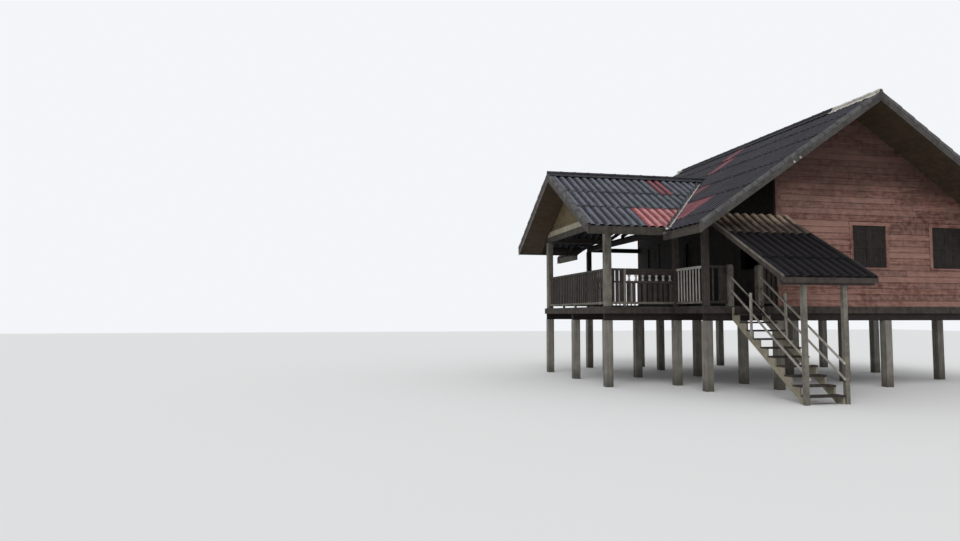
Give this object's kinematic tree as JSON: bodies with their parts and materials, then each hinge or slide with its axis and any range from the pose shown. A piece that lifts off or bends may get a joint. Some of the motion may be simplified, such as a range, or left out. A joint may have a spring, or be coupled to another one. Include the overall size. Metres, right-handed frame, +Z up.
{
  "type": "railway station building",
  "caption": "Timber railway station building on concrete stub posts, with a tiled gable roof, a gabled porch toward the track, a veranda and a stair under a lean-to canopy.",
  "frame": {"origin": "middle of the building's bounding box in plan, at ground level", "axes": "+Z up; +X away from the track, so the porch faces -X; +Y along the track, away from the stair; the main ridge runs along Y"},
  "size_m": [12.058, 12.198, 7.525],
  "materials": {
    "tiles": "matte, weathered",
    "zinc": "dull",
    "concrete": "matte",
    "dark_timber": "bare, weathered",
    "grey_timber": "bare, weathered",
    "pale_timber": "faded paint",
    "tan_boards": "faded paint",
    "soffit_boards": "matte paint",
    "red_boards": "worn paint",
    "white_paint": "faded paint"
  },
  "bodies": {
    "root": {"main_roof_front": "tiles", "main_roof_back": "tiles", "porch_roof_near": "tiles", "porch_roof_far": "tiles", "canopy_roof": "tiles", "main_ridge_cap": "tiles", "porch_ridge_cap": "tiles", "verge_caps": "tiles", "valley_gutters": "zinc", "stub_posts": "concrete", "girders": "dark_timber", "floor_joists": "dark_timber", "front_wall": "dark_timber", "front_door": "dark_timber", "window_shutters": "dark_timber", "veranda_beams": "dark_timber", "main_rafters": "dark_timber", "main_purlins": "dark_timber", "porch_rafters": "dark_timber", "porch_purlins": "dark_timber", "rim_boards": "grey_timber", "room_floor": "grey_timber", "veranda_floor": "grey_timber", "porch_floor": "grey_timber", "veranda_posts": "grey_timber", "porch_beams": "grey_timber", "barge_boards": "grey_timber", "eave_fascias": "grey_timber", "porch_front_railing": "grey_timber", "porch_side_railings": "grey_timber", "stair_side_panel": "grey_timber", "stair_treads": "grey_timber", "porch_posts": "pale_timber", "gable_sill": "pale_timber", "veranda_railings": "pale_timber", "stair_stringers": "pale_timber", "stair_newels": "pale_timber", "canopy_frame": "pale_timber", "canopy_posts": "pale_timber", "gable_boards": "tan_boards", "gable_soffits": "soffit_boards", "back_wall": "red_boards", "near_gable_wall": "red_boards", "far_gable_wall": "red_boards", "stair_rails": "white_paint"}
  },
  "joints": []
}
